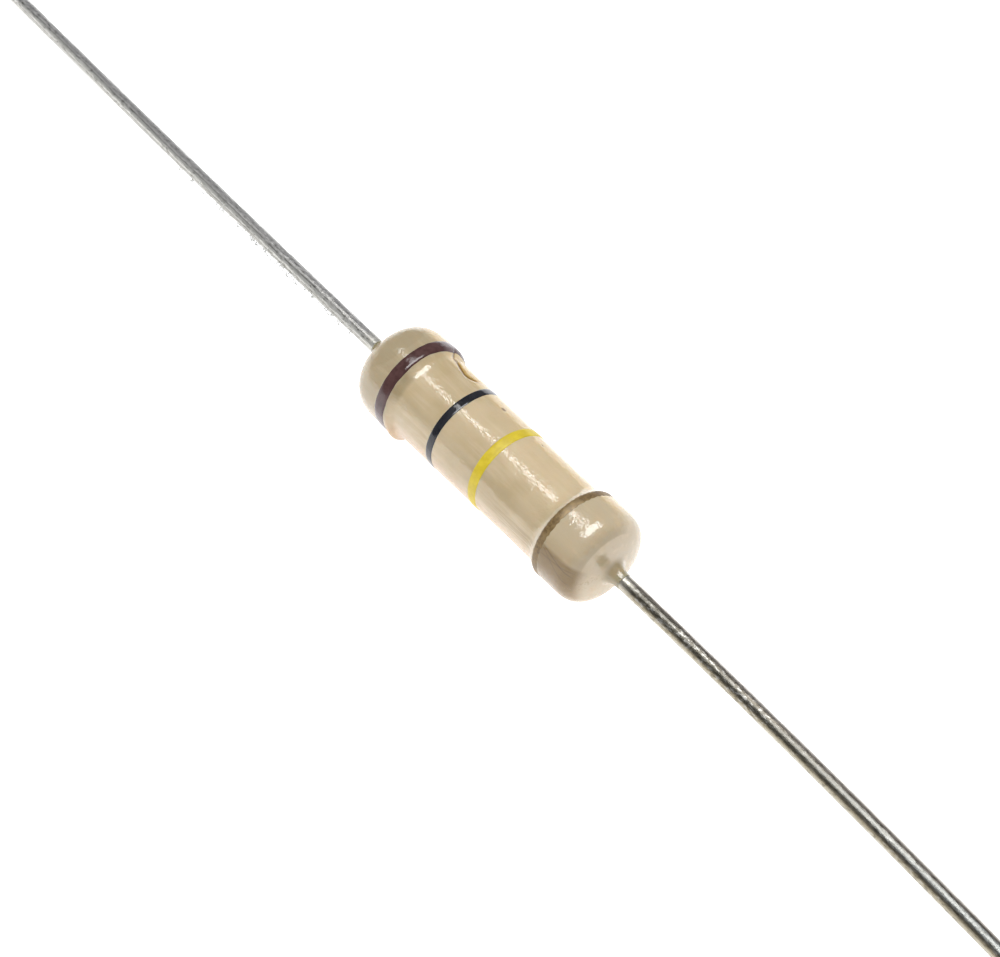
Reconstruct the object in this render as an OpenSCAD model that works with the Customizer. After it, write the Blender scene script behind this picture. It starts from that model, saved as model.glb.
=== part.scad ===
// Axial-lead carbon film resistor of the two-watt size, in millimetres.
// A carbon film on a ceramic rod is cut into a helix, capped at both ends, given a
// welded wire lead at each cap, dipped in lacquer and ringed with four colour bands.
// The body's axis runs along X, with the tolerance band at the +X end. The origin
// lies under the middle of the body, on the plane z = 0 that the resistor rests on.

/* [Ceramic core and film] */
// Length of the lacquered body over its two rounded ends, without the collars
body_len = 17.44; // [15:0.02:24]
// Diameter of the ceramic rod
core_d = 4.1; // [3:0.05:6]
// Width of the bevel round each end of the rod
core_bevel = 0.35; // [0.2:0.05:0.5]
// Thickness of the carbon film
film_t = 0.03; // [0.02:0.005:0.05]
// Distance from one turn of the cut in the film to the next
cut_pitch = 1.6; // [1:0.1:3]
// Width of the cut, along the rod
cut_w = 0.35; // [0.2:0.05:0.6]
// Plain film left between each end cap and the cut
cut_margin = 0.8; // [0.4:0.1:2]

/* [End caps] */
// Sheet thickness of the cap's side wall
cap_wall = 0.25; // [0.15:0.01:0.35]
// Sheet thickness of the cap's end
cap_base = 0.3; // [0.2:0.01:0.45]
// Length of the cap along the rod
cap_len = 2.6; // [1.5:0.1:3.5]
// Radius of the cap's outer corner
cap_corner_r = 0.6; // [0.4:0.05:0.8]

/* [Wire leads] */
// Diameter of the wire
lead_d = 0.8; // [0.5:0.01:1]
// Length of wire outside the body, measured along it
lead_len = 40; // [20:0.5:60]
// Straight wire next to the body, before the bend
lead_root_len = 1.2; // [1:0.1:4]
// Straight wire at the tip, after the bend
lead_tip_len = 12; // [6:0.5:16]
// Bevel round the sheared tip
lead_tip_bevel = 0.08; // [0.02:0.01:0.15]
// Angle from straight down, towards +Y, in which the left lead sags
left_lean = 33; // [-60:0.1:60]
// Angle from straight down, towards +Y, in which the right lead sags
right_lean = 3; // [-60:0.1:60]
// Diameter of the upset head welded to the cap
weld_d = 1.3; // [1.1:0.05:1.8]
// Thickness of the head's flat edge
weld_t = 0.12; // [0.05:0.01:0.15]
// Length of the taper from the head to the wire
weld_taper = 0.2; // [0.1:0.01:0.3]

/* [Lacquer] */
// Lacquer over the cap's end face
coat_over_end = 0.52; // [0.5:0.01:0.8]
// Lacquer over the left cap's side
coat_over_left_cap = 0.35; // [0.2:0.01:0.6]
// Lacquer over the right cap's side
coat_over_right_cap = 0.23; // [0.2:0.01:0.6]
// Lacquer over the film beside the left cap
coat_over_left_film = 0.31; // [0.15:0.01:0.5]
// Lacquer over the film beside the right cap
coat_over_right_film = 0.21; // [0.15:0.01:0.5]
// Length of the left slope from bulge to waist, which starts at the cap's rim
left_slope_len = 0.9; // [0.6:0.05:1.5]
// Length of the right slope from bulge to waist, which starts at the cap's rim
right_slope_len = 0.75; // [0.6:0.05:1.5]
// Length of the left end's rounding along the axis
left_dome_len = 2.04; // [1.4:0.02:2.4]
// Length of the right end's rounding along the axis
right_dome_len = 1.5; // [1.4:0.02:2.4]
// Fullness of the left end's rounding, where 2 is an ellipse
left_dome_power = 2.83; // [2.6:0.01:4]
// Fullness of the right end's rounding, where 2 is an ellipse
right_dome_power = 3; // [2.6:0.01:4]
// How far the lacquer climbs each lead
collar_len = 0.85; // [0.3:0.05:0.95]
// How far the collar spreads over the end face
collar_spread = 0.55; // [0.2:0.05:0.8]
// Thickness of the collar's outer edge
collar_edge = 0.03; // [0.02:0.01:0.1]

/* [Colour bands] */
// Thickness of the paint
paint_t = 0.04; // [0.02:0.01:0.08]
// Brown band's middle, measured from the body's left end
brown_from_end = 2.79; // [2.4:0.01:4]
// Width of the brown band
brown_w = 0.67; // [0.3:0.01:1]
// Distance from the brown band's middle to the black band's
brown_to_black = 3.62; // [2:0.01:4]
// Width of the black band
black_w = 0.45; // [0.3:0.01:1]
// Distance from the black band's middle to the yellow band's
black_to_yellow = 3.21; // [2:0.01:4]
// Width of the yellow band
yellow_w = 0.58; // [0.3:0.01:1]
// Gold band's middle, measured from the body's right end
gold_from_end = 2.69; // [2.2:0.01:4]
// Width of the gold band
gold_w = 0.38; // [0.3:0.01:1]

/* [Hidden] */
$fn = 64;

half_len = body_len / 2;
core_r = core_d / 2;
film_r = core_r + film_t;
cap_r = film_r + cap_wall;
lead_r = lead_d / 2;

// Places along the axis, from the body's middle: a cap's end face, its rim and the rod's end
cap_face = half_len - coat_over_end;
cap_rim = cap_face - cap_len;
core_end = cap_face - cap_base;

// Each end of the coat: bulge radius, waist radius, slope length, dome length, dome fullness
LEFT = [cap_r + coat_over_left_cap, film_r + coat_over_left_film,
    left_slope_len, left_dome_len, left_dome_power];
RIGHT = [cap_r + coat_over_right_cap, film_r + coat_over_right_film,
    right_slope_len, right_dome_len, right_dome_power];

// The paint on the larger bulge touches the resting plane
axis_z = max(LEFT[0], RIGHT[0]) + paint_t;

brown_x = -half_len + brown_from_end;
black_x = brown_x + brown_to_black;
yellow_x = black_x + black_to_yellow;
gold_x = half_len - gold_from_end;

// Pieces of an outline's round stretches
slope_steps = 10;
dome_steps = 16;
collar_steps = 8;
// Rings in each turn of the cutter that makes the helix
cut_steps = 24;
// How far a cutter runs past what it cuts
over = 0.2;
// The bent wire is drawn this much thinner, and runs this far into the straight wire
bend_thinning = 0.002;
bend_seam = 0.3;

function mix(a, b, t) = a + (b - a) * t;
function ease(t) = t * t * (3 - 2 * t);
function reverse(list) = [for (i = [len(list) - 1:-1:0]) list[i]];

// One end of the coat's outline as [radius, distance from the middle], going outwards:
// an eased slope up to the bulge, a superellipse dome, then a quarter ellipse up the lead
function slope_curve(end) = [for (i = [0:slope_steps]) let (t = i / slope_steps)
    [mix(end[1], end[0], ease(t)), cap_rim - end[2] * (1 - t)]];

function dome_curve(end) = [for (i = [0:dome_steps - 1]) let (a = 90 * i / dome_steps)
    [end[0] * pow(cos(a), 2 / end[4]), half_len - end[3] + end[3] * pow(sin(a), 2 / end[4])]];

function collar_curve() = [for (i = [0:collar_steps]) let (a = 90 * i / collar_steps)
    [lead_r + collar_edge + collar_spread * (1 - sin(a)), half_len + collar_len * (1 - cos(a))]];

// Dome points closer to the axis than the collar's foot are left out
function end_curve(end) = concat(slope_curve(end),
    [for (p = dome_curve(end)) if (p[0] > lead_r + collar_edge + collar_spread) p], collar_curve());

// The coat's outline from the left collar to the right one, raised by the given thickness
function coat_points(raise) = concat([[0, -half_len - collar_len]],
    reverse([for (p = end_curve(LEFT)) [p[0] + raise, -p[1]]]),
    [for (p = end_curve(RIGHT)) [p[0] + raise, p[1]]], [[0, half_len + collar_len]]);

// Turns a profile, drawn as [radius, distance along X], round the body's axis
module turned() {
    translate([0, 0, axis_z]) rotate([0, 90, 0]) rotate_extrude() children();
}

// A plug's profile from the axis out to radius r, with its far corner rounded
module plug_profile(r, h, corner_r) {
    square([r - corner_r, h]);
    square([r, h - corner_r]);
    translate([r - corner_r, h - corner_r]) circle(corner_r);
}

module cap_outside() {
    translate([0, cap_rim]) plug_profile(cap_r, cap_len, cap_corner_r);
}

module cap_inside() {
    translate([0, cap_rim]) plug_profile(film_r, cap_len - cap_base, cap_corner_r - cap_wall);
}

module weld_profile() {
    translate([0, cap_face]) polygon([[0, 0], [weld_d / 2, 0], [weld_d / 2, weld_t],
        [lead_r, weld_t + weld_taper], [0, weld_t + weld_taper]]);
}

// A square-section helix that sinks through the film from outside
module helix_cutter() {
    turns = (2 * (cap_rim - cut_margin) - cut_w) / cut_pitch;
    rings = floor(turns * cut_steps);
    corners = [[core_r - over, -cut_w / 2], [film_r + over, -cut_w / 2],
        [film_r + over, cut_w / 2], [core_r - over, cut_w / 2]];
    points = [for (i = [0:rings], c = corners) let (a = 360 * i / cut_steps)
        [c[0] * cos(a), c[0] * sin(a), c[1] + cut_pitch * (i - rings / 2) / cut_steps]];
    sides = [for (i = [0:rings - 1], k = [0:3]) let (n = (k + 1) % 4)
        [4 * i + k, 4 * i + n, 4 * i + 4 + n, 4 * i + 4 + k]];
    polyhedron(points, concat([[3, 2, 1, 0]], sides, [[for (k = [0:3]) 4 * rings + k]]), convexity = 10);
}

module ceramic_core() {
    color("#e9e6dc") turned() polygon([[0, -core_end], [core_r - core_bevel, -core_end],
        [core_r, core_bevel - core_end], [core_r, core_end - core_bevel],
        [core_r - core_bevel, core_end], [0, core_end]]);
}

module carbon_film() {
    film_end = core_end - core_bevel;
    color("#2b2b2d") difference() {
        turned() translate([core_r, -film_end]) square([film_t, 2 * film_end]);
        translate([0, 0, axis_z]) rotate([0, 90, 0]) helix_cutter();
    }
}

// A pressed steel cup over the right end of the rod
module end_cap() {
    color("#c3c2bd") turned() difference() {
        cap_outside();
        cap_inside();
    }
}

module left_end_cap() {
    mirror([1, 0, 0]) end_cap();
}

module right_end_cap() {
    end_cap();
}

// The wire of the right end: an upset head, a straight root, one even bend that brings the
// tip down to the resting plane, and a straight tip, all turned about the axis by lean
module lead(lean) {
    root_end = half_len + lead_root_len;
    bend_len = lead_len - lead_root_len - lead_tip_len;
    sag = (axis_z - lead_r) / cos(lean);
    bend = sag / (bend_len / 2 + lead_tip_len) * 180 / PI;
    bend_r = bend_len / bend * 180 / PI;
    seam = bend_seam / bend_r * 180 / PI;
    color("#b9b8b2") union() {
        turned() {
            weld_profile();
            translate([0, cap_face]) square([lead_r, root_end - cap_face]);
        }
        translate([root_end, 0, axis_z]) rotate([lean, 0, 0]) translate([0, 0, -bend_r])
            rotate([0, -90, -90]) {
                rotate_extrude(angle = bend + 2 * seam, start = -seam)
                    translate([bend_r, 0]) circle(lead_r - bend_thinning);
                rotate([0, 0, bend]) translate([bend_r, 0, 0]) rotate([-90, 0, 0])
                    rotate_extrude() polygon([[0, 0], [lead_r, 0],
                        [lead_r, lead_tip_len - lead_tip_bevel],
                        [lead_r - lead_tip_bevel, lead_tip_len], [0, lead_tip_len]]);
            }
    }
}

module left_lead() {
    mirror([1, 0, 0]) lead(left_lean);
}

module right_lead() {
    lead(right_lean);
}

// The cavity follows the rod, the caps, the weld heads and the leads
module lacquer_coat() {
    color("#d8c7a0") turned() difference() {
        polygon(coat_points(0));
        translate([0, -cap_rim]) square([film_r, 2 * cap_rim]);
        for (side = [0, 1]) mirror([0, side]) {
            cap_outside();
            weld_profile();
            translate([0, cap_face]) square([lead_r, half_len + collar_len + over - cap_face]);
        }
    }
}

// A ring of paint that follows the lacquer under it
module colour_band(middle, width) {
    turned() difference() {
        intersection() {
            polygon(coat_points(paint_t));
            translate([0, middle - width / 2]) square([axis_z, width]);
        }
        polygon(coat_points(0));
    }
}

module brown_band() {
    color("#55302f") colour_band(brown_x, brown_w);
}

module black_band() {
    color("#23272f") colour_band(black_x, black_w);
}

module yellow_band() {
    color("#dcc42e") colour_band(yellow_x, yellow_w);
}

module gold_band() {
    color("#8d7352") colour_band(gold_x, gold_w);
}

ceramic_core();
carbon_film();
left_end_cap();
right_end_cap();
left_lead();
right_lead();
lacquer_coat();
brown_band();
black_band();
yellow_band();
gold_band();
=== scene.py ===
import math
import bpy
import numpy as np
from mathutils import Matrix, Vector


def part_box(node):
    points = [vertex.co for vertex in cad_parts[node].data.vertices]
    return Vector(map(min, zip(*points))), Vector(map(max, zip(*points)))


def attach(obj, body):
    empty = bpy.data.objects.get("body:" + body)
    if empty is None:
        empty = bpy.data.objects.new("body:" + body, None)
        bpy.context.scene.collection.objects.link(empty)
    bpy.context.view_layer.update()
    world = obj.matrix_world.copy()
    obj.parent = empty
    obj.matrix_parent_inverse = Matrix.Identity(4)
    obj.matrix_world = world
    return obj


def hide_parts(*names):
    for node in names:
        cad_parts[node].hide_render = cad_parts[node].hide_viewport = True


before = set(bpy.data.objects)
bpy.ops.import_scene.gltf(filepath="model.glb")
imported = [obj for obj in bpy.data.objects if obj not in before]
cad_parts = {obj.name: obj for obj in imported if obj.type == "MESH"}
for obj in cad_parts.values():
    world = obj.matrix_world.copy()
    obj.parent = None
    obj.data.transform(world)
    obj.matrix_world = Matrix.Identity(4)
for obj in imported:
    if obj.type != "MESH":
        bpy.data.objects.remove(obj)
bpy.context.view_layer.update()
mm = 0.001
print("frame loaded:", len(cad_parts), "nodes")


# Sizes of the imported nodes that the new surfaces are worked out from
coatLow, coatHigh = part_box("lacquer_coat")
capLow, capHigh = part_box("right_end_cap")
filmLow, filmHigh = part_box("carbon_film")
leftBulgeRadius = (coatHigh.z - coatLow.z) / 2
axisHeight = (coatHigh.z + coatLow.z) / 2
capRim, capFace = capLow.x, capHigh.x
capRadius = (capHigh.z - capLow.z) / 2
filmRadius = (filmHigh.z - filmLow.z) / 2


cameraView = {
    "azimuth": 50.83,          # degrees, 0 looks along +Y
    "elevation": 51.3,         # degrees above the floor
    "distance": 0.1078,        # from the body's middle
    "lens": 79.2,
    "aside": 0.21 * mm,        # the picture's centre lies this far right of the body's middle
    "below": 0.917 * mm,       # and this far below it
}


def makeCamera(v):
    a, e = math.radians(v["azimuth"]), math.radians(v["elevation"])
    back = Vector((math.sin(a) * math.cos(e), -math.cos(a) * math.cos(e), math.sin(e)))
    right = Vector((math.cos(a), math.sin(a), 0))
    up = back.cross(right)
    camera = bpy.data.objects.new("camera", bpy.data.cameras.new("camera"))
    camera.location = Vector((0, 0, axisHeight)) + right * v["aside"] - up * v["below"] + back * v["distance"]
    camera.rotation_mode = "QUATERNION"
    camera.rotation_quaternion = Matrix((right, up, back)).transposed().to_quaternion()
    camera.data.lens = v["lens"]
    camera.data.clip_start = 1 * mm
    camera.data.clip_end = 10
    bpy.context.scene.collection.objects.link(camera)
    bpy.context.scene.camera = camera


makeCamera(cameraView)
print("camera placed")


class Socket:
    # One output socket. Arithmetic on it adds Math nodes to its tree.
    def __init__(self, tree, out):
        self.tree = tree
        self.out = out

    def maths(self, operation, *values):
        return addNode(self.tree, "ShaderNodeMath", {"operation": operation}, dict(enumerate(values)))

    def __add__(self, other):
        return self.maths("ADD", self, other)

    def __sub__(self, other):
        return self.maths("SUBTRACT", self, other)

    def __rsub__(self, other):
        return self.maths("SUBTRACT", other, self)

    def __mul__(self, other):
        return self.maths("MULTIPLY", self, other)

    def __rmul__(self, other):
        return self.maths("MULTIPLY", other, self)

    def __truediv__(self, other):
        return self.maths("DIVIDE", self, other)

    def __pow__(self, other):
        return self.maths("POWER", self, other)

    def absolute(self):
        return self.maths("ABSOLUTE", self)

    def most(self, other):
        return self.maths("MAXIMUM", self, other)

    def step(self, low, high):
        # 0 at low, 1 at high and an eased slope between; it falls where low is the larger
        return addNode(self.tree, "ShaderNodeMapRange", {"interpolation_type": "SMOOTHSTEP"},
                       {0: self, 1: low, 2: high, 3: 0.0, 4: 1.0})

    def between(self, low, high, soft):
        # 1 from low to high, with eased edges of this width
        return self.step(low - soft / 2, low + soft / 2) * self.step(high + soft / 2, high - soft / 2)


def addNode(tree, kind, settings, values, output=0):
    node = tree.nodes.new(kind)
    for name, setting in settings.items():
        if name == "stops":
            while len(node.color_ramp.elements) < len(setting):
                node.color_ramp.elements.new(0.5)
            for element, (place, colour) in zip(node.color_ramp.elements, setting):
                element.position, element.color = place, colour
        else:
            setattr(node, name, setting)
    for name, value in values.items():
        if isinstance(value, Socket):
            tree.links.new(value.out, node.inputs[name])
        else:
            node.inputs[name].default_value = value
    return Socket(tree, node.outputs[output])


def mixColours(factor, a, b):
    tree = next(v.tree for v in (factor, a, b) if isinstance(v, Socket))
    settings = {"data_type": "RGBA", "clamp_factor": True}
    return addNode(tree, "ShaderNodeMix", settings, {0: factor, 6: a, 7: b}, 2)


def rgb(red, green, blue):
    return (red, green, blue, 1.0)


class Surface:
    # A new material: its Principled shader, and the coordinates its patterns read, which are the
    # object's own or a stored attribute
    def __init__(self, name, constants, attribute=None):
        self.material = bpy.data.materials.new(name)
        self.material.use_nodes = True
        self.tree = self.material.node_tree
        self.shader = self.tree.nodes["Principled BSDF"]
        for key, value in constants.items():
            self.shader.inputs[key].default_value = value
        if attribute:
            self.place = self.add("ShaderNodeAttribute", {"attribute_name": attribute}, {}, 1)
        else:
            self.place = self.add("ShaderNodeTexCoord", {}, {}, 3)

    def add(self, kind, settings, values, output=0):
        return addNode(self.tree, kind, settings, values, output)

    def parts(self, vector):
        return [self.add("ShaderNodeSeparateXYZ", {}, {0: vector}, k) for k in range(3)]

    def moved(self, scale=(1, 1, 1), shift=(0, 0, 0)):
        # The place, stretched along each axis and shifted
        return self.add("ShaderNodeMapping", {}, {0: self.place, 1: shift, 3: scale})

    def noise(self, vector, scale, detail=2.0, roughness=0.5, distortion=0.0):
        return self.add("ShaderNodeTexNoise", {}, {"Vector": vector, "Scale": scale, "Detail": detail,
                                                   "Roughness": roughness, "Distortion": distortion})

    def bump(self, height, distance, strength=1.0, under=None):
        values = {"Height": height, "Distance": distance, "Strength": strength}
        if under is not None:
            values["Normal"] = under
        return self.add("ShaderNodeBump", {}, values)

    def feed(self, links):
        for key, value in links.items():
            self.tree.links.new(value.out, self.shader.inputs[key])
        return self.material


def gridMesh(name, points, closeAlong=False):
    # points[k, i, j] is point j of ring i on copy k. Rings close round j. closeAlong also joins the last
    # ring to the first, and otherwise one face closes each end.
    if points.ndim == 3:
        points = points[None]
    copies, rings, around = points.shape[:3]
    i = np.arange(rings if closeAlong else rings - 1)[:, None]
    j = np.arange(around)[None, :]
    corners = [i * around + j, i * around + (j + 1) % around,
               (i + 1) % rings * around + (j + 1) % around, (i + 1) % rings * around + j]
    quads = np.stack(corners, -1).reshape(-1, 4)
    ring = np.arange(around)
    ends = np.array([] if closeAlong else [ring[::-1], ring + (rings - 1) * around], int)
    first = np.arange(copies)[:, None] * rings * around
    loops = np.concatenate([(quads.ravel() + first).ravel(), (ends.ravel() + first).ravel()])
    totals = np.repeat([4, around], [len(quads) * copies, len(ends) * copies])
    mesh = bpy.data.meshes.new(name)
    mesh.vertices.add(copies * rings * around)
    mesh.vertices.foreach_set("co", points.reshape(-1).astype(np.float32))
    mesh.loops.add(len(loops))
    mesh.loops.foreach_set("vertex_index", loops.astype(np.int32))
    mesh.polygons.add(len(totals))
    mesh.polygons.foreach_set("loop_start", (np.cumsum(totals) - totals).astype(np.int32))
    mesh.polygons.foreach_set("use_smooth", np.ones(len(totals), bool))
    mesh.update(calc_edges=True)
    mesh.validate()
    return mesh


def addPiece(name, mesh, material, slot, *nodes):
    piece = bpy.data.objects.new(name, mesh)
    piece.data.materials.append(material)
    bpy.context.scene.collection.objects.link(piece)
    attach(piece, "root")
    if nodes:
        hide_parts(*nodes)


def aroundAxis(x, radius, angle):
    # A point at station x, this far from the body's axis; angle is measured from +Y towards +Z
    return np.stack([x + 0 * angle, radius * np.cos(angle), axisHeight + radius * np.sin(angle)], -1)


def wholeTurn(count):
    # The angles of one ring's points, as a row
    return np.linspace(0, 2 * math.pi, count, endpoint=False)[None, :]


def turnFrom(angle, middle):
    # Degrees from this middle to each angle, between -180 and 180
    return (np.degrees(angle) - middle + 180) % 360 - 180


def ease(t):
    # 0 to 1 with level ends, 3t^2 - 2t^3
    t = np.clip(t, 0, 1)
    return t * t * (3 - 2 * t)


def bell(t):
    # A bell curve, exp(-t^2)
    return np.exp(-(t ** 2))


def ripple(x, angle, seed, waves, lengths, amount):
    # A smooth random swell: a sum of cosines in angle and station, whole numbers of waves round the axis
    random = np.random.default_rng(seed)
    total = 0
    for k in waves:
        for length in lengths:
            phase = random.uniform(0, 2 * math.pi)
            turn = random.choice([-1, 1])
            total = total + random.normal() * np.cos(k * angle + turn * 2 * math.pi * x / length + phase)
    return amount * total / math.sqrt(len(waves) * len(lengths))


coatShape = {
    "leftWaist": 2.39 * mm,        # waist radius beside each bulge
    "rightWaist": 2.29 * mm,
    "rightBulge": 2.56 * mm,
    "leftEdge": -5.62 * mm,        # where each bulge's crest ends and its slope begins
    "rightEdge": 5.80 * mm,
    "leftSlope": 0.80 * mm,        # length of the slope from bulge to waist
    "rightSlope": 0.72 * mm,
    "slopeHollow": 2.4,            # above 1, the slope is hollow, with a crisp crest and a soft foot
    "leftDome": 2.04 * mm,         # length of each end's rounding, and its fullness
    "rightDome": 1.5 * mm,
    "leftFullness": 2.83,
    "rightFullness": 3.0,
    "collarLength": 0.85 * mm,     # the skirt that climbs each lead
    "collarSpread": 0.42 * mm,
    "collarEdge": 0.012 * mm,
    "wireRadius": 0.4 * mm,
    "capCorner": 0.6 * mm,
    "sagReach": 0.36 * mm,         # the left bulge's edge sags this much further along the waist
    "sagAngle": 215.0,             # around this side, in degrees from +Y towards +Z
    "sagWidth": 70.0,
    "sagStations": (-6.6 * mm, -3.8 * mm),
    "sagFades": (1.0 * mm, 0.9 * mm),
    "lipHeight": 0.17 * mm,        # a raised lip at the sagged edge, highest round this angle
    "lipAngle": 207.0,
    "lipWidth": 24.0,
    "lipStations": (-5.7 * mm, -5.08 * mm),
    "lipFades": (0.7 * mm, 0.10 * mm),
    "plainRadius": 0.95 * mm,      # the skin is plain inside this radius, and uneven further out
    "plainFade": 1.2 * mm,
    "aroundSteps": 280,
    "alongSteps": 326,
    "slopeSteps": 24,
    "domeSteps": 90,
    "collarSteps": 30,
    "cornerSteps": 7,
    "cornerBlur": 4,
}
coatSwell = {                      # slow unevenness left by dipping
    "seed": 3,
    "waves": (1, 2, 3, 5),
    "lengths": (7.1 * mm, 11.3 * mm, 23 * mm),
    "amount": 0.008 * mm,
}
coatStreak = {                     # lengthwise unevenness
    "seed": 5,
    "waves": (11, 17, 24, 31),
    "lengths": (9 * mm, 13 * mm, 29 * mm),
    "amount": 0.0022 * mm,
}
bodyHalf = coatHigh.x - coatShape["collarLength"]


def endOutline(shape, side, bulge):
    # Stations and radii from the waist out to the collar's tip: a hollow slope t^n, a straight crest, a
    # superellipse dome r = R cos(a)^(2/p), x = L sin(a)^(2/p), and a quarter ellipse up the wire
    waist, slope = shape[side + "Waist"], shape[side + "Slope"]
    dome, power = shape[side + "Dome"], shape[side + "Fullness"]
    t = np.linspace(0, 1, shape["slopeSteps"])
    slopeX = abs(shape[side + "Edge"]) - slope * (1 - t)
    slopeR = waist + (bulge - waist) * t ** shape["slopeHollow"]
    a = np.linspace(0, math.pi / 2, shape["domeSteps"])[1:-1]
    domeX = bodyHalf - dome + dome * np.sin(a) ** (2 / power)
    domeR = bulge * np.cos(a) ** (2 / power)
    foot = shape["wireRadius"] + shape["collarEdge"]
    keep = domeR > foot + shape["collarSpread"]
    a = np.linspace(0, math.pi / 2, shape["collarSteps"])
    collarX = bodyHalf + shape["collarLength"] * (1 - np.cos(a))
    collarR = foot + shape["collarSpread"] * (1 - np.sin(a))
    return np.concatenate([slopeX, domeX[keep], collarX]), np.concatenate([slopeR, domeR[keep], collarR])


def evenly(x, r, count, blur):
    # Resamples an outline at even steps and softens its corners with a short moving average
    length = np.concatenate([[0], np.cumsum(np.hypot(np.diff(x), np.diff(r)))])
    t = np.linspace(0, length[-1], count)
    x, r = np.interp(t, length, x), np.interp(t, length, r)
    for _ in range(blur):
        x[1:-1] = (x[:-2] + 2 * x[1:-1] + x[2:]) / 4
        r[1:-1] = (r[:-2] + 2 * r[1:-1] + r[2:]) / 4
    return x, r


def coatOutline(shape):
    xLeft, rLeft = endOutline(shape, "left", leftBulgeRadius)
    xRight, rRight = endOutline(shape, "right", shape["rightBulge"])
    x = np.concatenate([-xLeft[::-1], xRight])
    r = np.concatenate([rLeft[::-1], rRight])
    return evenly(x, r, shape["alongSteps"], shape["cornerBlur"])


outlineX, outlineR = coatOutline(coatShape)

lapMark = {                        # a fold of lacquer beside the left bulge, on the far upper side
    "from": -5.9 * mm,
    "to": -3.1 * mm,
    "low": -3.85 * mm,             # the station where it comes furthest round, and the angle there
    "angle": 61.0,
    "leftSlope": -6.5,             # how its angle falls on each side of there, in degrees per millimetre
    "leftCurve": -2.2,             # and in degrees per square millimetre
    "rightCurve": -19,
    "skinRadius": 2.4 * mm,
    "endFade": 0.4 * mm,
    "width": 0.075 * mm,
    "depth": 0.030 * mm,
    "fill": 0.030 * mm,            # the run of lacquer behind it
    "fillRise": 0.2 * mm,
    "fillEnd": 1.08 * mm,
    "fillFade": 0.6 * mm,
    "notch": 0.22 * mm,            # the hollow between that run and the bulge, with its station and angle
    "notchAt": -5.34 * mm,
    "notchLength": 0.27 * mm,
    "notchAngle": 30.0,
    "notchWidth": 24.0,
}


def lapAngle(mark, x):
    # The fold's angle falls gently to the left of its low point and steeply to the right; x may be an
    # array or a socket
    gap = (x - mark["low"]) / mm
    if isinstance(x, Socket):
        left, right = (gap * -1).most(0.0), gap.most(0.0)
    else:
        left, right = np.maximum(-gap, 0), np.maximum(gap, 0)
    leftPart = left * left * mark["leftCurve"] + left * mark["leftSlope"]
    return leftPart + right * right * mark["rightCurve"] + mark["angle"]


def lapRelief(mark, x, angle):
    # A groove along the fold and a low swelling behind it, both fading out at the ends, and a notch that
    # is a bell curve in station and in angle
    ends = ease((x - mark["from"]) / mark["endFade"]) * ease((mark["to"] - x) / mark["endFade"])
    past = (np.radians(lapAngle(mark, x)) - angle) * mark["skinRadius"]
    groove = -mark["depth"] * bell(past / mark["width"])
    fill = mark["fill"] * ease(past / mark["fillRise"]) * ease((mark["fillEnd"] - past) / mark["fillFade"])
    across = bell((x - mark["notchAt"]) / mark["notchLength"])
    notch = mark["notch"] * across * bell(turnFrom(angle, mark["notchAngle"]) / mark["notchWidth"])
    return ends * (groove + fill) - notch


def stretch(x, stations, fades):
    # 1 between two stations, easing to 0 over a length inside each
    return ease((x - stations[0]) / fades[0]) * ease((stations[1] - x) / fades[1])


def sagShift(shape, x, angle):
    # How far along the waist the left bulge's edge has sagged: a raised cosine in angle, on one stretch
    turn = np.clip(turnFrom(angle, shape["sagAngle"]) / shape["sagWidth"], -1, 1)
    amount = 0.5 + 0.5 * np.cos(turn * math.pi)
    return shape["sagReach"] * amount * stretch(x, shape["sagStations"], shape["sagFades"])


def lipRelief(shape, x, angle):
    # The lip rises slowly along the waist, drops sharply at its end and is a bell curve in angle
    along = stretch(x, shape["lipStations"], shape["lipFades"])
    return shape["lipHeight"] * along * bell(turnFrom(angle, shape["lipAngle"]) / shape["lipWidth"])


def coatSurface(x, angle):
    # The skin's radius: its sagged outline, plus swell, streaks, fold, notch and lip away from the wires
    shape = coatShape
    turned = np.interp(x - sagShift(shape, x, angle), outlineX, outlineR)
    fade = ease((turned - shape["plainRadius"]) / shape["plainFade"])
    uneven = ripple(x, angle, **coatSwell) + ripple(x, angle, **coatStreak)
    return turned + fade * (uneven + lapRelief(lapMark, x, angle) + lipRelief(shape, x, angle))


def makeCoat(shape):
    angle = wholeTurn(shape["aroundSteps"])
    x = outlineX[:, None]
    outside = aroundAxis(x, coatSurface(x, angle), angle)
    # The cavity is walked back from right to left: wire, cap with its round corner, film, cap, wire
    wire, corner = shape["wireRadius"], shape["capCorner"]
    a = np.linspace(0, math.pi / 2, shape["cornerSteps"])
    halfX = np.concatenate([[coatHigh.x], capFace - corner + corner * np.cos(a), [capRim, capRim]])
    halfR = np.concatenate([[wire], capRadius - corner + corner * np.sin(a), [capRadius, filmRadius]])
    inX = np.concatenate([halfX[:1], halfX[1:2], halfX[1:], -halfX[:0:-1], -halfX[1:2], -halfX[:1]])
    inR = np.concatenate([halfR[:1], halfR[:1], halfR[1:], halfR[:0:-1], halfR[:1], halfR[:1]])
    inside = aroundAxis(inX[:, None], inR[:, None], angle)
    return gridMesh("lacquerCoat", np.concatenate([outside, inside])[:, ::-1], closeAlong=True)


print("coat outline worked out")


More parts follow.
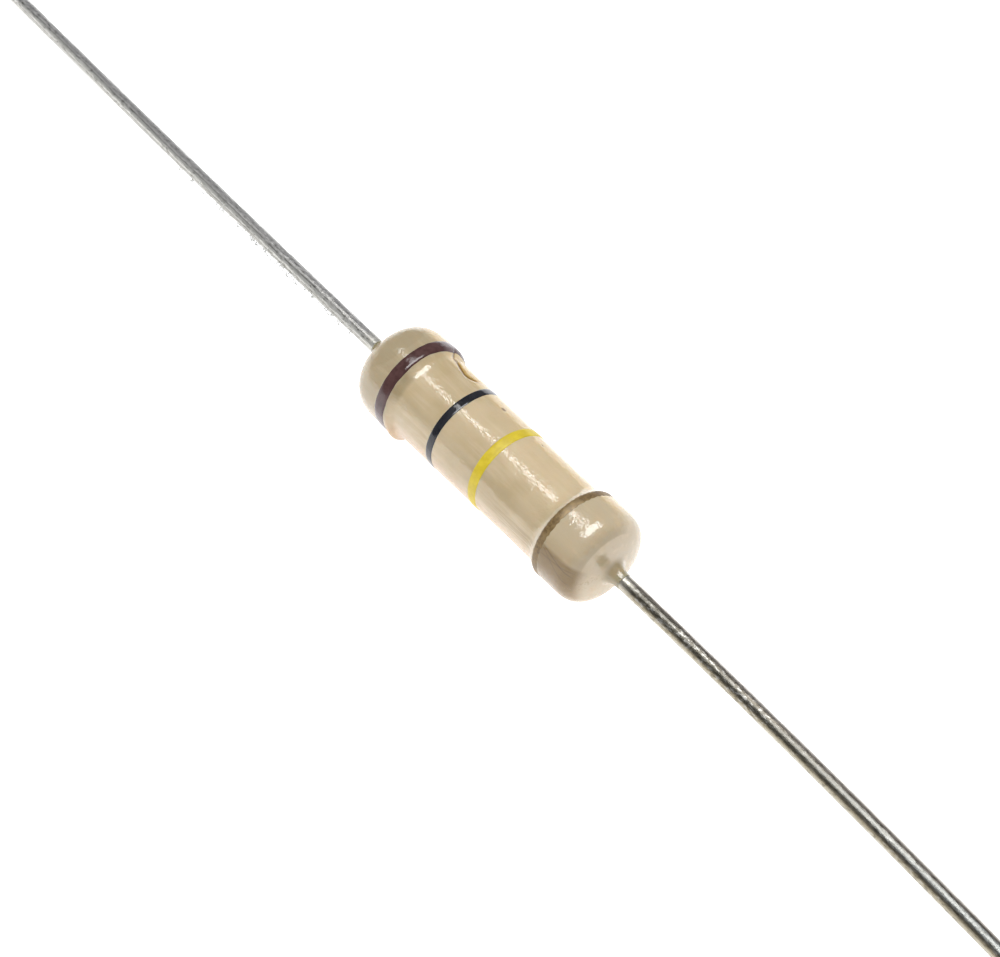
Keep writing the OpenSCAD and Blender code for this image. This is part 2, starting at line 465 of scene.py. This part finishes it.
bandShapes = {
    # wander is how far each edge strays, waves are its wave numbers round the ring, and each bend
    # moves one edge by an amount around one angle, with a width in degrees
    "brown": {"wander": 0.016 * mm, "waves": (1, 2, 3, 7, 16, 29), "paint": 0.022 * mm,
              "startBend": (0, 0, 1), "stopBend": (0.07 * mm, 50, 35)},
    "black": {"wander": 0.008 * mm, "waves": (1, 2, 3, 6, 13), "paint": 0.018 * mm,
              "startBend": (-0.22 * mm, 18, 42), "stopBend": (-0.2 * mm, 18, 42)},
    "yellow": {"wander": 0.008 * mm, "waves": (1, 2, 3, 5, 9), "paint": 0.026 * mm,
               "startBend": (0.08 * mm, 190, 60), "stopBend": (0.08 * mm, 190, 60)},
    "gold": {"wander": 0.022 * mm, "waves": (1, 2, 5, 14, 27, 43, 61), "paint": 0.014 * mm,
             "startBend": (-0.1 * mm, 117, 50), "stopBend": (0, 0, 1)},
}
bandSection = {
    "fullness": 6,                 # the power of the flat dome
    "topSteps": 15,
    "underSteps": 3,
    "edgeSink": 0.001 * mm,        # the edges lie this far below the skin
    "underSink": 0.004 * mm,       # and the underside this far
    "aroundSteps": 720,
    "seed": 40,                    # each edge of each band takes the next seed
}


def makeBand(colour, shape, section, seed):
    # A ring of paint on the skin. Its section is a flat dome, height = (1 - t^6), between two edges that
    # each wander with the angle, and its underside lies just below the skin
    low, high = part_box(colour + "_band")
    angle = wholeTurn(section["aroundSteps"])
    edges = []
    for number, (place, bend) in enumerate(((low.x, "startBend"), (high.x, "stopBend"))):
        amount, middle, width = shape[bend]
        stray = ripple(0, angle, seed + number, shape["waves"], (1.0,), shape["wander"])
        edges.append(place + stray + amount * bell(turnFrom(angle, middle) / width))
    start, stop = edges
    topCount, underCount = section["topSteps"], section["underSteps"]
    over = np.cos(np.linspace(math.pi, 0, topCount))
    under = np.linspace(1, -1, underCount + 2)[1:-1]
    t = np.concatenate([over, under])[:, None]
    onTop = np.repeat([True, False], [topCount, underCount])[:, None]
    x = (start + stop) / 2 + t * (stop - start) / 2
    domed = shape["paint"] * (1 - t ** section["fullness"]) - section["edgeSink"]
    lift = np.where(onTop, domed, -section["underSink"])
    points = aroundAxis(x, coatSurface(x, angle) + lift, angle)
    return gridMesh(colour + "Band", points[:, ::-1], closeAlong=True)


leadShapes = {
    # lean is the angle that the bend is turned about the body's axis, in degrees
    "left": {"lean": 33.0, "sign": -1, "dent": 0.006 * mm, "groove": 0.005 * mm, "seed": 21},
    "right": {"lean": 3.0, "sign": 1, "dent": 0.006 * mm, "groove": 0.0015 * mm, "seed": 31},
}
wireWear = {                       # waves round the wire, and lengths along it
    "dentWaves": (0, 1, 2, 3),
    "dentLengths": (1.3 * mm, 2.9 * mm, 6.7 * mm),
    "grooveWaves": (6, 9, 13),
    "grooveLengths": (11 * mm, 27 * mm),
    "start": 0.9 * mm,             # wear starts this far from the body, and is full this much further
    "fade": 1.5 * mm,
}
leadRoute = {
    "radius": 0.4 * mm,
    "rootLength": 1.2 * mm,        # straight wire outside the body, before the bend
    "tipLength": 12 * mm,          # straight wire after it
    "length": 40 * mm,             # outside the body, in all
    "tipBevel": 0.08 * mm,
    "headRadius": 0.65 * mm,       # the upset head welded to the cap
    "headThickness": 0.12 * mm,
    "headTaper": 0.2 * mm,
    "closedRadius": 0.001 * mm,    # of the small faces that close the ends
    "step": 0.09 * mm,
    "aroundSteps": 48,
}


def routePoints(route, lead, s):
    # Place and heading at distance s along the wire from the body's end: straight, a circular bend that
    # lowers the tip almost to the floor, straight again, all turned about the axis by the lead's lean
    lean = math.radians(lead["lean"])
    bendLength = route["length"] - route["rootLength"] - route["tipLength"]
    sag = (axisHeight - route["radius"]) / math.cos(lean)
    bend = sag / (bendLength / 2 + route["tipLength"])
    bendRadius = bendLength / bend
    turned = np.clip((s - route["rootLength"]) / bendRadius, 0, bend)
    after = np.maximum(s - route["rootLength"] - bendLength, 0)
    before = np.minimum(s, route["rootLength"])
    x = bodyHalf + before + bendRadius * np.sin(turned) + after * np.cos(turned)
    down = bendRadius * (1 - np.cos(turned)) + after * np.sin(turned)
    place = np.stack([lead["sign"] * x, down * math.sin(lean), axisHeight - down * math.cos(lean)], -1)
    heading = np.stack([lead["sign"] * np.cos(turned), np.sin(turned) * math.sin(lean),
                        -np.sin(turned) * math.cos(lean)], -1)
    return place, heading


def makeLead(route, wear, lead, name):
    # Rings along the route, each of radius r(s) less drawn grooves and slow dents, with a welded head and
    # a sheared tip
    radius, closed, bevel = route["radius"], route["closedRadius"], route["tipBevel"]
    thickness, length = route["headThickness"], route["length"]
    head = np.array([0, 0, thickness, thickness + route["headTaper"]]) - (bodyHalf - capFace)
    headR = np.array([closed, route["headRadius"], route["headRadius"], radius])
    s = np.arange(head[-1] + route["step"], length - bevel, route["step"])
    tip = np.array([length - bevel, length, length])
    tipR = np.array([radius, radius - bevel, closed])
    distance = np.concatenate([head, s, tip])[:, None]
    plainR = np.concatenate([headR, np.full(len(s), radius), tipR])[:, None]
    angle = wholeTurn(route["aroundSteps"])
    free = ease((distance - wear["start"]) / wear["fade"]) * (plainR > 0.99 * radius)
    dents = ripple(distance, angle, lead["seed"], wear["dentWaves"], wear["dentLengths"], lead["dent"])
    grooves = ripple(distance, angle, lead["seed"] + 1, wear["grooveWaves"], wear["grooveLengths"],
                     lead["groove"])
    # Wear only ever takes metal away, so the wire stays inside its drawn size
    r = plainR - free * np.abs(dents + grooves)
    place, heading = routePoints(route, lead, distance[:, 0])
    side = np.cross(heading, [0.0, 0.0, 1.0])
    side /= np.linalg.norm(side, axis=1)[:, None]
    over = np.cross(side, heading)
    across = np.cos(angle)[..., None] * side[:, None] + np.sin(angle)[..., None] * over[:, None]
    mesh = gridMesh(name, place[:, None] + r[..., None] * across)
    # Where each point lies on the wire when it is straight, for patterns that follow it
    straight = np.stack([distance + 0 * angle, r * across[..., 1], r * across[..., 2]], -1)
    mesh.attributes.new("straight", "FLOAT_VECTOR", "POINT").data.foreach_set("vector", straight.ravel())
    return mesh


residue = {                        # curls and crumbs of old flux along the left lead's lower side
    "count": 96,
    "from": 2.4 * mm,
    "to": 19 * mm,
    "angle": 205.0,                # degrees from +Y towards +Z
    "spread": 20.0,
    "gather": (1.2, 1.3),          # the beta distribution that places them along the wire
    "lean": 1.2,                   # each leans up to this much from the wire, in radians
    "curl": (0.06 * mm, 0.25 * mm),
    "thickness": (0.014 * mm, 0.034 * mm),
    "sweep": (2.0, 4.4),           # how far each goes round its circle, in radians
    "sink": 0.01 * mm,             # it starts this far inside the wire
    "blunt": 0.35,                 # the taper leaves this much of a half turn off each end, in radians
    "seed": 77,
    "alongSteps": 9,
    "aroundSteps": 6,
}


def makeResidue(look, route, lead):
    # Each curl is a thin tube, thickness sin(t), along part of a small circle that starts on the wire
    random = np.random.default_rng(look["seed"])
    count, steps = look["count"], look["alongSteps"]
    s = look["from"] + (look["to"] - look["from"]) * random.beta(*look["gather"], count)
    place, heading = routePoints(route, lead, s)
    angle = np.radians(look["angle"] + random.normal(0, look["spread"], count))
    outward = np.stack([0 * angle, np.cos(angle), np.sin(angle)], -1)
    lean = random.uniform(-look["lean"], look["lean"], count)[:, None]
    sideways = heading * np.cos(lean) + np.cross(heading, outward) * np.sin(lean)
    curl = random.uniform(*look["curl"], count)[:, None, None]
    thick = random.uniform(*look["thickness"], count)[:, None, None, None]
    along = np.linspace(0, 1, steps)[None, :, None] * random.uniform(*look["sweep"], count)[:, None, None]
    centre = place + outward * (route["radius"] - look["sink"])
    radial = outward[:, None] * np.sin(along) + sideways[:, None] * (1 - np.cos(along))
    spine = centre[:, None] + curl * radial
    tangent = outward[:, None] * np.cos(along) + sideways[:, None] * np.sin(along)
    binormal = np.cross(tangent, np.cross(outward, sideways)[:, None])
    normal = np.cross(tangent, binormal)
    turn = wholeTurn(look["aroundSteps"])[:, None, :, None]
    taper = np.sin(np.linspace(look["blunt"], math.pi - look["blunt"], steps))[None, :, None, None]
    ring = binormal[:, :, None] * np.cos(turn) + normal[:, :, None] * np.sin(turn)
    return gridMesh("fluxResidue", spine[:, :, None] + thick * taper * ring)


lacquerTones = {
    "base": rgb(0.495, 0.388, 0.226),
    "pale": rgb(0.635, 0.520, 0.345),
    "leftCap": rgb(0.425, 0.345, 0.218),
    "rightCap": rgb(0.530, 0.436, 0.290),
    "golden": rgb(0.560, 0.400, 0.165),  # painted glow of light through the lacquer on the far side
    "peach": rgb(0.540, 0.368, 0.212),   # and on the near lower side
    "brown": rgb(0.190, 0.108, 0.014),
    "olive": rgb(0.260, 0.205, 0.105),
    "lit": rgb(0.70, 0.56, 0.36),
    "hair": rgb(0.10, 0.06, 0.02),
    "foldSkin": rgb(0.50, 0.33, 0.10),
    "creaseShadow": rgb(0.19, 0.10, 0.02),
    "dirt": rgb(0.13, 0.06, 0.01),
}
lacquerMarks = {
    # hair lines in the painted dark reflection under the right bulge: an angle where they start, degrees
    # per millimetre, and a strength
    "hairs": ((147.5, 6.0, 0.4), (149.0, 12.0, 0.3), (158.0, -2.0, 0.3)),
    "hairStart": 6.2 * mm,
    "hairSpan": (6.3 * mm, 8.2 * mm, 0.3 * mm),
    # a painted dark reflection on top of the left end: its middle as station and angle, and its half sizes
    "patchAt": (-7.55 * mm, 97),
    "patchReach": (0.95 * mm, 40),
    # specks of dirt: station, angle and radius
    "specks": ((-0.95 * mm, 57.0, 0.13 * mm), (1.95 * mm, 55.0, 0.06 * mm)),
    "speckSkin": 2.34 * mm,        # the skin's radius where they lie
    "speckStretch": 0.45,          # below 1, they are longer along the body
}


def orangePeel(s):
    # One fine noise, nearly the same in every direction
    return s.noise(s.moved((0.8, 1, 1)), 5600, 1, 0.6)


def lacquer(tones, marks):
    # Base tan, mottled by slow noise and paler in lengthwise streaks. Windows in station x and angle round
    # the axis then tint, in turn, the lit top, a painted glow of light through the lacquer along both sides,
    # a band of painted shade, the caps, a painted dark reflection and hair lines under the right bulge, the
    # fold with painted shadow in its crease, painted dark reflections on the left slope and end, the collars,
    # a ring and a painted collar shadow on the right end, and two specks. The height is a fine orange peel
    # over slower ripples.
    s = Surface("lacquer", {"Subsurface Weight": 0.45, "Subsurface Radius": (1.0, 0.62, 0.38),
                            "Subsurface Scale": 0.3 * mm, "IOR": 1.62})
    x, y, z = s.parts(s.place)
    high = z - axisHeight
    angle = high.maths("ARCTAN2", high, y) * (180 / math.pi)
    angle = angle + (y * -1).step(-0.001 * mm, 0.001 * mm) * high.step(0.001 * mm, -0.001 * mm) * 360
    mottle = s.noise(s.moved(), 420, 3)
    streaks = s.noise(s.moved((230, 2100, 2100)), 1.0, 3, 0.6)
    hairs = s.noise(s.moved((300, 6500, 6500), (0, 0, 4)), 1.0, 3, 0.6, 0.4)
    colour = mixColours(mottle.step(0.35, 0.68) * 0.5, tones["base"], tones["pale"])
    colour = mixColours(streaks.step(0.42, 0.72) * 0.7, colour, tones["pale"])
    lit = x.step(-4.5 * mm, 2.0 * mm) * angle.step(128, 92)
    colour = mixColours(lit * 0.55, colour, tones["lit"])
    # Painted glow of light through the lacquer on the near lower side
    colour = mixColours(angle.between(182, 262, 28) * 0.7, colour, tones["peach"])
    shaded = (angle + mottle * 8).between(140, 153, 8)
    colour = mixColours(shaded * 0.3, colour, tones["leftCap"])
    overCap = x.absolute().step(capRim - 0.3 * mm, capRim + 0.2 * mm)
    capTone = mixColours(x.step(-1 * mm, 1 * mm), tones["leftCap"], tones["rightCap"])
    colour = mixColours(overCap * (1.0 - streaks.step(0.45, 0.75) * 0.5), colour, capTone)
    # Painted glow of light through the lacquer on the far upper side, fading before the ends
    farSide = angle.step(66, 54) * angle.step(-40, 10) * x.absolute().step(8.0 * mm, 7.0 * mm)
    colour = mixColours(farSide * 0.85, colour, tones["golden"])
    # A painted dark reflection on the near lower side of the right bulge, and thin brown lines on the near
    # lower side
    wander = mottle * 10 - 5
    turned = angle + wander * 0.5
    darkReflection = turned.step(126, 150) * 0.3 + turned.step(145, 151) * 0.7
    darkReflection = darkReflection * angle.step(234, 190) * x.between(6.1 * mm, 8.45 * mm, 0.4 * mm)
    colour = mixColours(darkReflection * (1.08 - mottle * 0.4), colour, tones["brown"])
    lines = (angle + wander).between(156, 184, 18) * x.step(-1 * mm, 5.0 * mm) * hairs.step(0.5, 0.38)
    colour = mixColours(lines * 0.28, colour, tones["brown"])
    for start, slope, strength in marks["hairs"]:
        gap = (angle + wander * 0.3 - start - (x - marks["hairStart"]) * (slope / mm)).absolute()
        line = gap.step(1.3, 0.3) * x.between(*marks["hairSpan"])
        colour = mixColours(line * strength, colour, tones["hair"])
    # The fold: a thin dark line of painted shadow in its crease, and golden lacquer behind it, partly a
    # painted glow
    ends = x.between(lapMark["from"] + 0.2 * mm, lapMark["to"] - 0.1 * mm, 0.4 * mm)
    past = lapAngle(lapMark, x) - angle
    behind = past.step(0, 1.5) * past.step(26, 4) * ends
    colour = mixColours(behind * 0.8, colour, tones["foldSkin"])
    colour = mixColours(past.absolute().step(3.4, 0.6) * ends * 0.9, colour, tones["creaseShadow"])
    # Painted shade, olive, where the near half of the left bulge's slope reflects the dim room
    shade = angle.between(112, 150, 24) * x.between(-5.58 * mm, -5.10 * mm, 0.28 * mm)
    colour = mixColours(shade * 0.5, colour, tones["olive"])
    # A rounded painted dark reflection on top of the left end
    (station, turn), (halfLength, halfTurn) = marks["patchAt"], marks["patchReach"]
    reach = (((x - station) / halfLength) ** 2 + ((angle - turn) / halfTurn) ** 2) ** 0.5
    colour = mixColours(reach.step(1.06, 0.94) * 0.16, colour, tones["olive"])
    # Collars round the wires, a ring round the right end's face, and a painted shadow of the right collar on
    # it
    nearAxis = (y * y + high * high) ** 0.5
    colour = mixColours(nearAxis.step(0.85 * mm, 0.5 * mm) * 0.6, colour, tones["olive"])
    ring = nearAxis.step(1.98 * mm, 2.08 * mm) * nearAxis.step(2.52 * mm, 2.15 * mm)
    ring = ring * x.step(7.5 * mm, 7.9 * mm) * angle.between(62, 150, 24)
    colour = mixColours(ring * 0.42, colour, tones["olive"])
    collarShadow = angle.between(104, 128, 12) * nearAxis.between(1.1 * mm, 1.65 * mm, 0.3 * mm)
    collarShadow = collarShadow * x.step(7.9 * mm, 8.2 * mm)
    colour = mixColours(collarShadow * 0.45, colour, tones["olive"])
    for station, turn, size in marks["specks"]:
        aside = (angle - turn) * (marks["speckSkin"] * math.pi / 180)
        reach = ((x - station) * (x - station) * marks["speckStretch"] + aside * aside) ** 0.5
        colour = mixColours(reach.step(size, size * 0.5) * 0.9, colour, tones["dirt"])
    rough = s.noise(s.moved(), 1500, 2) * 0.08 + 0.105
    slow = s.noise(s.moved((0.4, 1, 1)), 1100, 2)
    normal = s.bump(orangePeel(s), 0.018 * mm, 1.0, s.bump(slow, 0.008 * mm, 0.6))
    return s.feed({"Base Color": colour, "Roughness": rough, "Normal": normal})


paintLooks = {
    "brown": {"dark": rgb(0.062, 0.027, 0.024), "light": rgb(0.092, 0.044, 0.040),
              "roughness": 0.16, "peelDepth": 0.010 * mm},
    "black": {"dark": rgb(0.013, 0.013, 0.016), "light": rgb(0.022, 0.022, 0.026),
              "roughness": 0.14, "peelDepth": 0.010 * mm},
    "yellow": {"dark": rgb(0.570, 0.425, 0.012), "light": rgb(0.670, 0.520, 0.024),
               "roughness": 0.48, "peelDepth": 0.003 * mm},
}
goldTones = {
    "binder": rgb(0.12, 0.070, 0.020),
    "flake": rgb(0.27, 0.180, 0.075),
    "patch": rgb(0.36, 0.26, 0.12),
}


def paint(name, dark, light, roughness, peelDepth):
    # Two tones of one paint mixed by mottling, with the same orange-peel height as the skin below
    s = Surface(name, {"IOR": 1.5})
    mottle = s.noise(s.moved(), 2600, 3, 0.6)
    colour = mixColours(mottle.step(0.3, 0.7), dark, light)
    rough = mottle * 0.15 + (roughness - 0.07)
    normal = s.bump(orangePeel(s), peelDepth, 0.8)
    return s.feed({"Base Color": colour, "Roughness": rough, "Normal": normal})


def goldPaint(tones):
    # Bronze flakes in a brown binder: where a fine noise is high the paint is paler and metallic, and
    # where it is low the binder shows. A slow noise then tints patches.
    s = Surface("goldPaint", {"IOR": 1.5})
    flakes = s.noise(s.moved(), 5200, 4, 0.7)
    patches = s.noise(s.moved(), 900, 2)
    colour = mixColours(flakes.step(0.3, 0.7), tones["binder"], tones["flake"])
    colour = mixColours(patches.step(0.5, 0.7) * 0.4, colour, tones["patch"])
    return s.feed({"Base Color": colour, "Metallic": flakes.step(0.35, 0.7) * 0.35,
                   "Roughness": flakes * 0.3 + 0.3, "Normal": s.bump(flakes, 0.006 * mm, 0.7)})


wireTones = {
    # tones across the wire from its lower near edge (0) to its upper far edge (1): the tin's own tones with
    # painted reflections, pale at the edges and dark bands where the wire faces the dim room
    "left": [(0.0, rgb(0.52, 0.51, 0.46)), (0.17, rgb(0.27, 0.26, 0.23)), (0.25, rgb(0.66, 0.65, 0.59)),
             (0.42, rgb(0.58, 0.57, 0.52)), (0.52, rgb(0.26, 0.25, 0.23)), (0.60, rgb(0.52, 0.51, 0.48)),
             (0.70, rgb(0.32, 0.31, 0.30)), (0.86, rgb(0.46, 0.45, 0.43)), (1.0, rgb(0.52, 0.51, 0.48))],
    "right": [(0.0, rgb(0.50, 0.47, 0.38)), (0.20, rgb(0.25, 0.215, 0.145)), (0.40, rgb(0.16, 0.142, 0.102)),
              (0.55, rgb(0.095, 0.090, 0.076)), (0.72, rgb(0.085, 0.077, 0.064)),
              (0.84, rgb(0.31, 0.27, 0.22)), (1.0, rgb(0.52, 0.49, 0.44))],
    "shine": rgb(0.25, 0.26, 0.25),
    "glint": rgb(0.62, 0.61, 0.57),
    "stain": rgb(0.065, 0.058, 0.042),
    "lacquered": rgb(0.60, 0.58, 0.50),
}
wireLooks = {
    "left": {"metallic": 0.60, "roughness": 0.32, "streakDepth": 0.012 * mm, "pitDepth": 0.026 * mm,
             "glintAmount": 0.65, "stained": 0.38, "farShine": 0.0},
    "right": {"metallic": 0.85, "roughness": 0.34, "streakDepth": 0.006 * mm, "pitDepth": 0.014 * mm,
              "glintAmount": 0.42, "stained": 0.50, "farShine": 0.90},
}


def tinnedWire(side, tones, metallic, roughness, streakDepth, pitDepth, glintAmount, stained, farShine):
    # Lengthwise bands, a ramp across the wire that noise pushes to and fro: the tin's own tones with painted
    # reflections, pale along the edges and dark where the wire faces the dim room. Broken painted glints,
    # where a fine noise and a slow one are both high, are brighter, low spots are dark, and a painted
    # highlight along the top brightens towards the tip. The height is fine draw marks and pits. Lacquer
    # whitens the start.
    s = Surface(side + "Tin", {"Metallic": metallic}, "straight")
    x, y, z = s.parts(s.place)
    fine = s.noise(s.moved((250, 9000, 9000)), 1.0, 4, 0.65)
    slow = s.noise(s.moved((160, 900, 900)), 1.0, 2)
    blots = s.noise(s.moved((3200, 8200, 8200)), 1.0, 2, 0.6)
    patches = s.noise(s.moved((330, 1500, 1500)), 1.0, 2)
    pits = s.noise(s.moved((0.7, 1, 1)), 6500, 3, 0.7)
    # The near lower side is at 207 degrees from +Y towards +Z
    across = (y * 0.892 + z * 0.452) / (0.8 * mm) + 0.5
    colour = s.add("ShaderNodeValToRGB", {"stops": tones[side]},
                   {0: across + (slow - 0.5) * 0.22 + (fine - 0.5) * 0.20})
    # A painted highlight along the top of the wire, stronger towards the tip
    shine = x.step(7 * mm, 30 * mm) * (across + (slow - 0.5) * 0.2).between(0.43, 0.79, 0.12)
    colour = mixColours(shine * farShine, colour, tones["shine"])
    glints = blots.step(0.50, 0.64) * (patches.step(0.44, 0.60) * 0.8 + 0.2)
    colour = mixColours(glints * glintAmount, colour, tones["glint"])
    colour = mixColours(blots.step(0.46, 0.34) * stained, colour, tones["stain"])
    colour = mixColours(x.step(2.0 * mm, 0.9 * mm) * 0.45, colour, tones["lacquered"])
    rough = fine * 0.16 + blots * 0.24 + (roughness - 0.2)
    normal = s.bump(pits, pitDepth, 0.9, s.bump(fine, streakDepth, 0.9))
    return s.feed({"Base Color": colour, "Roughness": rough, "Normal": normal})


plainTones = {                     # the darker and the paler tone of each
    "flux": (rgb(0.50, 0.51, 0.48), rgb(0.80, 0.80, 0.76)),
    "ceramic": (rgb(0.80, 0.78, 0.72), rgb(0.90, 0.88, 0.83)),
    "film": (rgb(0.03, 0.03, 0.032), rgb(0.075, 0.075, 0.08)),
    "steel": (rgb(0.55, 0.54, 0.52), rgb(0.74, 0.73, 0.70)),
}


def driedFlux(dark, pale):
    # Chalky off-white, a little greyer in patches
    s = Surface("driedFlux", {"Roughness": 0.6})
    patches = s.noise(s.moved(), 3000, 2)
    return s.feed({"Base Color": mixColours(patches, dark, pale)})


def firedCeramic(dark, pale):
    # Off-white body with faint grey grain
    s = Surface("firedCeramic", {"Roughness": 0.65})
    grain = s.noise(s.moved(), 3000, 4, 0.7)
    return s.feed({"Base Color": mixColours(grain.step(0.3, 0.75), dark, pale),
                   "Normal": s.bump(grain, 0.006 * mm, 0.6)})


def carbonFilm(dark, pale):
    # Near-black with a graphite sheen that varies in slow patches
    s = Surface("carbonFilm", {"IOR": 1.8})
    patches = s.noise(s.moved(), 1200, 3)
    return s.feed({"Base Color": mixColours(patches, dark, pale),
                   "Roughness": patches * 0.3 + 0.25})


def pressedSteel(dark, pale):
    # Tin plate with scratches drawn along the cup by the press
    s = Surface("pressedSteel", {"Metallic": 1.0})
    scratches = s.noise(s.moved((200, 4000, 4000)), 1.0, 4, 0.7)
    return s.feed({"Base Color": mixColours(scratches, dark, pale),
                   "Roughness": scratches * 0.25 + 0.2, "Normal": s.bump(scratches, 0.004 * mm, 0.6)})


skin = lacquer(lacquerTones, lacquerMarks)
addPiece("lacquerCoat", makeCoat(coatShape), skin, "lacquer", "lacquer_coat")
print("coat made")

paints = {colour: paint(colour + "Paint", **look) for colour, look in paintLooks.items()}
paints["gold"] = goldPaint(goldTones)
for number, (colour, shape) in enumerate(bandShapes.items()):
    band = makeBand(colour, shape, bandSection, bandSection["seed"] + 2 * number)
    addPiece(colour + "Band", band, paints[colour], colour + "_paint", colour + "_band")
print("bands made")

for side, lead in leadShapes.items():
    wire = makeLead(leadRoute, wireWear, lead, side + "Lead")
    tin = tinnedWire(side, wireTones, **wireLooks[side])
    addPiece(side + "Lead", wire, tin, "tinned_wire", side + "_lead")
flux = driedFlux(*plainTones["flux"])
addPiece("fluxResidue", makeResidue(residue, leadRoute, leadShapes["left"]), flux, "tinned_wire")
print("leads made")

hidden = {
    "ceramic_core": firedCeramic(*plainTones["ceramic"]),
    "carbon_film": carbonFilm(*plainTones["film"]),
}
hidden["left_end_cap"] = hidden["right_end_cap"] = pressedSteel(*plainTones["steel"])
for name, material in hidden.items():
    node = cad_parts[name]
    node.data.materials.clear()
    node.data.materials.append(material)
print("inner pieces finished")


studio = {
    "floorGlow": 0.95,             # the floor is lit from below, as on a light table
    "floorTone": rgb(0.80, 0.80, 0.80),
    "glowTone": rgb(0.97, 0.97, 1.0),
    "ceiling": rgb(0.13, 0.14, 0.165),
    "wall": rgb(1.08, 1.06, 1.12),
    "wallTop": 0.17,               # height of the pale walls, as the sine of the elevation
    "brightWallTop": 0.45,         # and of the taller one on the +X side
    "brightWallFrom": (0.35, 0.85),  # it rises between these values of the direction's X
    "curtain": (-0.86, -0.34, 0.08),  # and curtains hang between these two, with edges this wide
    "wallEdge": 0.03,              # half the width of the walls' soft top
    "floorReach": 1.2,             # from the body to the floor's edge
}
lamps = {
    # direction from the body, distance, size along X and Y, radiance
    "softbox": {"way": (-0.16, 0.05, 0.98), "far": 0.36, "size": (0.146, 0.28), "radiance": 7.6},
    "strip": {"way": (-0.45, 0.04, 0.89), "far": 0.36, "size": (0.085, 0.054), "radiance": 5.8},
}


def makeFloor(look):
    floorLook = {"Base Color": look["floorTone"], "Roughness": 0.8,
                 "Emission Color": look["glowTone"], "Emission Strength": look["floorGlow"]}
    far = look["floorReach"]
    corners = [(-far, -far, 0), (far, -far, 0), (far, far, 0), (-far, far, 0)]
    mesh = bpy.data.meshes.new("floor")
    mesh.from_pydata(corners, [], [(0, 1, 2, 3)])
    mesh.materials.append(Surface("floor", floorLook).material)
    floor = bpy.data.objects.new("floor", mesh)
    bpy.context.scene.collection.objects.link(floor)


def makeRoom(look):
    # A dim ceiling over pale walls. The walls are taller at +X, and dark curtains hang at both sides of -X
    world = bpy.data.worlds.new("room")
    bpy.context.scene.world = world
    world.use_nodes = True
    tree = world.node_tree
    direction = addNode(tree, "ShaderNodeTexCoord", {}, {}, 0)
    x, z = [addNode(tree, "ShaderNodeSeparateXYZ", {}, {0: direction}, k) for k in (0, 2)]
    curtain = x.between(*look["curtain"])
    taller = x.step(*look["brightWallFrom"]) * (look["brightWallTop"] - look["wallTop"])
    wall = (z - look["wallTop"] * (1 - curtain) - taller).step(look["wallEdge"], -look["wallEdge"])
    shade = mixColours(wall, look["ceiling"], look["wall"])
    tree.links.new(shade.out, tree.nodes["Background"].inputs["Color"])


def hangLamp(name, lamp):
    light = bpy.data.objects.new(name, bpy.data.lights.new(name, "AREA"))
    light.data.shape = "RECTANGLE"
    light.data.size, light.data.size_y = lamp["size"]
    light.data.energy = 4 * lamp["radiance"] * lamp["size"][0] * lamp["size"][1]
    way = Vector(lamp["way"]).normalized()
    light.location = Vector((0, 0, axisHeight)) + way * lamp["far"]
    # The lamp's own X stays along the body
    side = (Vector((1, 0, 0)) - way * way.x).normalized()
    light.rotation_mode = "QUATERNION"
    light.rotation_quaternion = Matrix((side, way.cross(side), way)).transposed().to_quaternion()
    bpy.context.scene.collection.objects.link(light)


makeFloor(studio)
makeRoom(studio)
for name, lamp in lamps.items():
    hangLamp(name, lamp)
bpy.context.scene.view_settings.view_transform = "Standard"
print("stage and light set")
